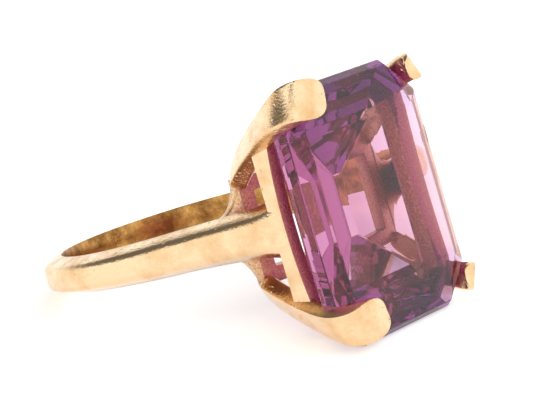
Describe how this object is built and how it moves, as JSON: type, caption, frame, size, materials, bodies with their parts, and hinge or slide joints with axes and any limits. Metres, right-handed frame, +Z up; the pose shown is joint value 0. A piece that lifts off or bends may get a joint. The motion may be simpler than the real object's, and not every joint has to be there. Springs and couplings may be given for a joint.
{
  "type": "cocktail ring",
  "caption": "Cocktail ring lying on its side: a large step-cut purple stone held by corner claws in an open gallery on a tapered gold band.",
  "frame": {"origin": "on the surface the ring lies on, under the middle of its outline", "axes": "+Z up from that surface, +X towards the stone, +Y across the finger towards the far side; the ring lies on its side, so the finger's axis and the stone's facing direction are tipped back about Y by the angle that its lying pose gives"},
  "size_m": [0.028, 0.0202, 0.0156],
  "materials": {
    "yellow_gold": "polished",
    "amethyst": "polished"
  },
  "bodies": {
    "root": {"shank": "yellow_gold", "near_shoulder": "yellow_gold", "far_shoulder": "yellow_gold", "lower_rail": "yellow_gold", "upper_rail": "yellow_gold", "claw_near_top": "yellow_gold", "claw_near_foot": "yellow_gold", "claw_far_top": "yellow_gold", "claw_far_foot": "yellow_gold", "stone": "amethyst"}
  },
  "joints": []
}
